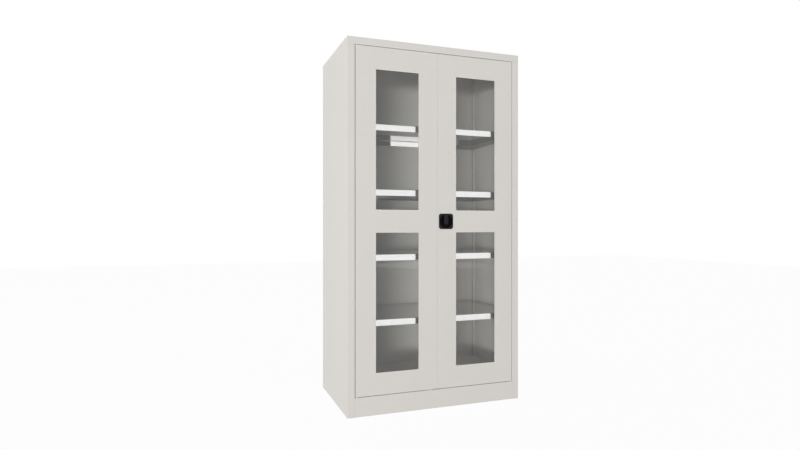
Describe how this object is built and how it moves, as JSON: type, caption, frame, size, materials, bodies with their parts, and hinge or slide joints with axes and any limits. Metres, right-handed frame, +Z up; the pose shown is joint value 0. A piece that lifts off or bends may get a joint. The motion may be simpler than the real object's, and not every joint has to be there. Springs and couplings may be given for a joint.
{
  "type": "double-door cabinet",
  "caption": "Free-standing steel cupboard with glazed double doors, bright folded shelves behind the panes, a flush turning handle with a rod lock, and a plinth.",
  "frame": {"origin": "centre of the overall box on the floor", "axes": "+Z up, -Y out of the doors, +X to the right of a person facing the doors"},
  "size_m": [1, 0.595, 1.95],
  "materials": {
    "body_paint": "fine powder coat, satin",
    "bright_zinc": "bright zinc-plated sheet",
    "zinc_steel": "zinc-plated, satin",
    "clear_glass": "clear, polished",
    "black_rubber": "matte",
    "grey_seal": "matte, light grey",
    "black_plastic": "fine grained",
    "white_nylon": "moulded, satin",
    "dark_chrome": "dark nickel"
  },
  "bodies": {
    "carcass": {"back_panel": "body_paint", "bolt_strike": "white_nylon", "door_buffers": "black_rubber", "floor_panel": "body_paint", "front_left_upright": "body_paint", "front_plinth": "body_paint", "front_right_upright": "body_paint", "hinge_bushes": "white_nylon", "left_side_panel": "body_paint", "rear_left_upright": "body_paint", "rear_plinth": "body_paint", "rear_right_upright": "body_paint", "right_side_panel": "body_paint", "shelf_1": "bright_zinc", "shelf_2": "bright_zinc", "shelf_3": "bright_zinc", "shelf_4": "bright_zinc", "shelf_clips": "zinc_steel", "top_panel": "body_paint", "top_stop": "zinc_steel"},
    "left_door": {"bolt_guides": "black_plastic", "left_door_pan": "body_paint", "left_hinge_brackets": "zinc_steel", "left_hinge_pins": "zinc_steel", "left_hinge_stiffener": "body_paint", "left_lower_gasket": "black_rubber", "left_lower_glass": "clear_glass", "left_lower_retainer": "body_paint", "left_meeting_stiffener": "body_paint", "left_retainer_screws": "zinc_steel", "left_upper_gasket": "black_rubber", "left_upper_glass": "clear_glass", "left_upper_retainer": "body_paint", "meeting_seal": "grey_seal"},
    "right_door": {"handle_rosette": "black_plastic", "lock_case": "zinc_steel", "lock_screws": "zinc_steel", "right_door_pan": "body_paint", "right_hinge_brackets": "zinc_steel", "right_hinge_pins": "zinc_steel", "right_hinge_stiffener": "body_paint", "right_lower_gasket": "black_rubber", "right_lower_glass": "clear_glass", "right_lower_retainer": "body_paint", "right_retainer_screws": "zinc_steel", "right_upper_gasket": "black_rubber", "right_upper_glass": "clear_glass", "right_upper_retainer": "body_paint", "rod_guides": "black_plastic"},
    "foot_bolt": {"foot_bolt": "zinc_steel"},
    "handle": {"handle_grip": "black_plastic", "drive_spindle": "zinc_steel"},
    "upper_rod": {"upper_rod": "zinc_steel"},
    "lower_rod": {"lower_rod": "zinc_steel"},
    "key_cylinder": {"lock_cylinder": "dark_chrome"}
  },
  "joints": [
    {"name": "left_door_hinge", "type": "hinge", "parent": "carcass", "child": "left_door", "pos_m": [-0.449, -0.2865, 1.00575], "axis": [0, 0, -1], "range_deg": [0, 110]},
    {"name": "right_door_hinge", "type": "hinge", "parent": "carcass", "child": "right_door", "pos_m": [0.449, -0.2865, 1.00575], "axis": [0, 0, 1], "range_deg": [0, 110]},
    {"name": "handle_turn", "type": "hinge", "parent": "right_door", "child": "handle", "pos_m": [0.05, -0.2925, 1.0053], "axis": [0, 1, 0], "range_deg": [0, 90]},
    {"name": "upper_rod_slide", "type": "slide", "parent": "right_door", "child": "upper_rod", "axis": [0, 0, 1], "range_m": [0, 0.01885]},
    {"name": "lower_rod_slide", "type": "slide", "parent": "right_door", "child": "lower_rod", "axis": [0, 0, -1], "range_m": [0, 0.0189]},
    {"name": "key_turn", "type": "hinge", "parent": "handle", "child": "key_cylinder", "pos_m": [0.05, -0.2925, 1.0053], "axis": [0, 1, 0], "range_deg": [0, 90]},
    {"name": "foot_bolt_slide", "type": "slide", "parent": "left_door", "child": "foot_bolt", "axis": [0, 0, -1], "range_m": [0, 0.015]}
  ],
  "couplings": [
    {"joint": "handle_turn", "follows": "upper_rod_slide", "rad_per_m": 83.333},
    {"joint": "lower_rod_slide", "follows": "upper_rod_slide", "ratio": 1}
  ]
}
